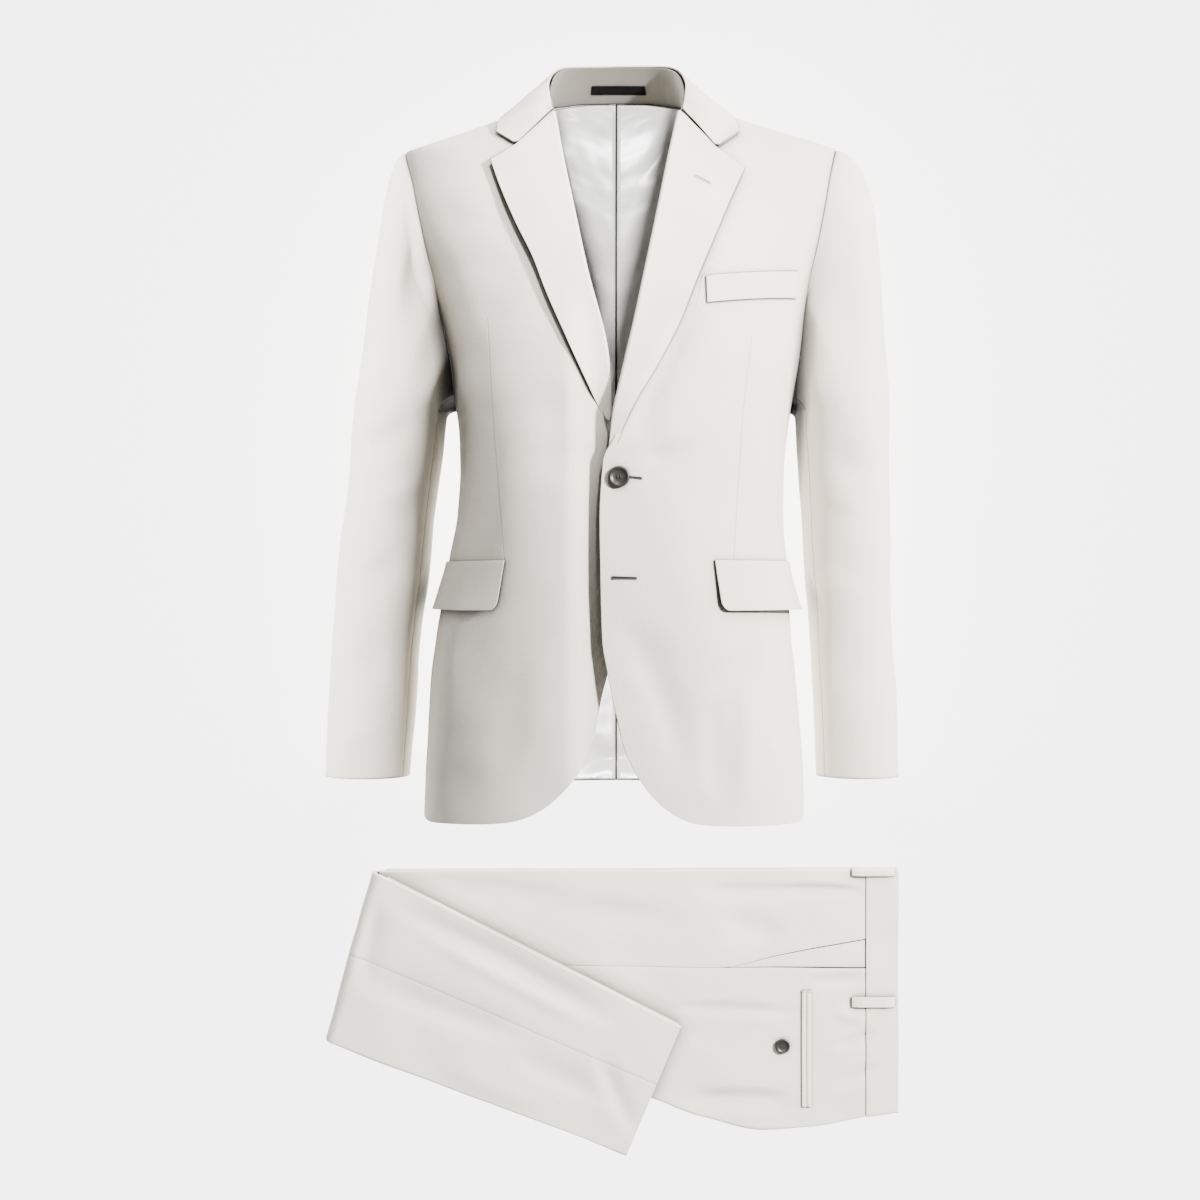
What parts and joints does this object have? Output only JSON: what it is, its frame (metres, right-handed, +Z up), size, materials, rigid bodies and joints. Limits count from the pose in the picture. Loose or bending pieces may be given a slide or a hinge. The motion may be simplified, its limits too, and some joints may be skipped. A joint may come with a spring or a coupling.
{
  "type": "two-piece suit",
  "caption": "Ivory two-piece suit laid out: a filled-out notch-lapel jacket on its back and trousers folded flat below it.",
  "frame": {"origin": "on the table, under the middle of the whole set's box", "axes": "+X across the jacket towards the wearer's left sleeve, +Y towards the collar, +Z up from the table"},
  "size_m": [0.6371, 1.1959, 0.2201],
  "materials": {
    "suiting": "matte fine plain weave",
    "lining": "satin",
    "horn": "semi-gloss horn",
    "tape": "plain woven tape"
  },
  "bodies": {
    "root": {"front_left": "suiting", "front_right": "suiting", "side_left": "suiting", "side_right": "suiting", "back_left": "suiting", "back_right": "suiting", "sleeve_top_left": "suiting", "sleeve_top_right": "suiting", "sleeve_under_left": "suiting", "sleeve_under_right": "suiting", "lapel_left": "suiting", "lapel_right": "suiting", "collar_leaf": "suiting", "collar_stand": "suiting", "pocket_flap_left": "suiting", "pocket_flap_right": "suiting", "breast_welt": "suiting", "trouser_left_front": "suiting", "trouser_left_back": "suiting", "trouser_right_front": "suiting", "trouser_right_back": "suiting", "pocket_facing": "suiting", "trouser_layers": "suiting", "folded_layers": "suiting", "waistband_left": "suiting", "waistband_right": "suiting", "belt_loop_front": "suiting", "belt_loop_side": "suiting", "back_pocket_welt_upper": "suiting", "back_pocket_welt_lower": "suiting", "lining_left": "lining", "lining_right": "lining", "front_button": "horn", "lower_button": "horn", "back_pocket_button": "horn", "neck_tape": "tape"}
  },
  "joints": []
}
